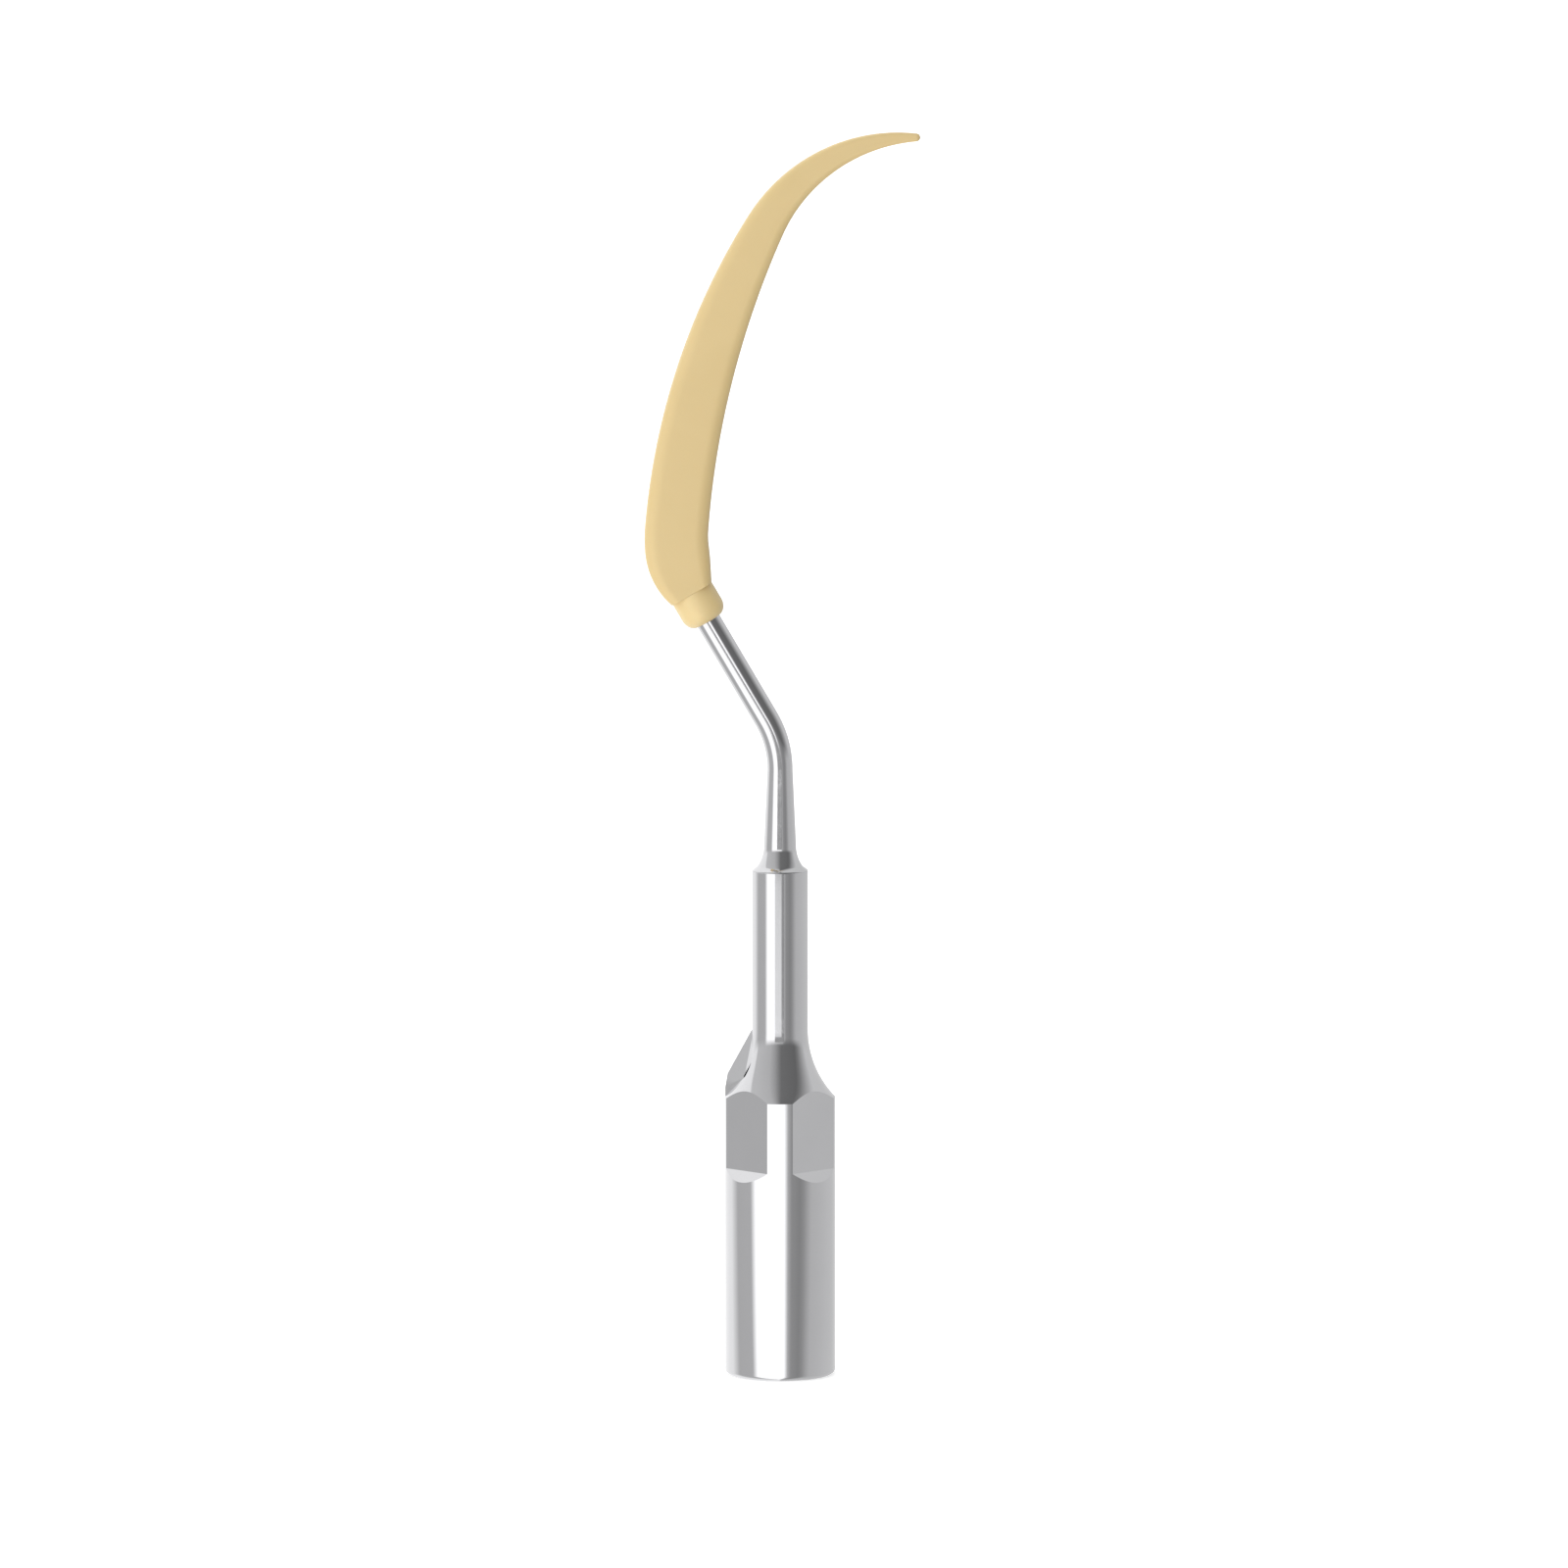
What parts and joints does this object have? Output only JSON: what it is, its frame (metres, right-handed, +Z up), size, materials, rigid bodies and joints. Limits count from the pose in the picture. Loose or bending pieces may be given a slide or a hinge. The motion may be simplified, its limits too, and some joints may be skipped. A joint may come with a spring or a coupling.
{
  "type": "dental scaler tip",
  "caption": "Screw-on dental scaler tip: threaded steel socket with wrench flats, bent steel shank and a long curved polymer blade with a collar.",
  "frame": {"origin": "centre of the socket's mouth, on the flat end face of the steel body", "axes": "+Z up the socket's axis towards the blade, the shank and blade bend in the XZ plane, and the blade's point is towards +X"},
  "size_m": [0.0116, 0.0046, 0.053],
  "materials": {
    "holder_steel": "turned and polished stainless steel",
    "shank_steel": "polished stainless steel",
    "collar_polymer": "moulded PEEK, satin",
    "blade_polymer": "moulded PEEK, satin"
  },
  "bodies": {
    "root": {"socket_body": "holder_steel", "shank": "shank_steel", "blade_collar": "collar_polymer", "blade": "blade_polymer"}
  },
  "joints": []
}
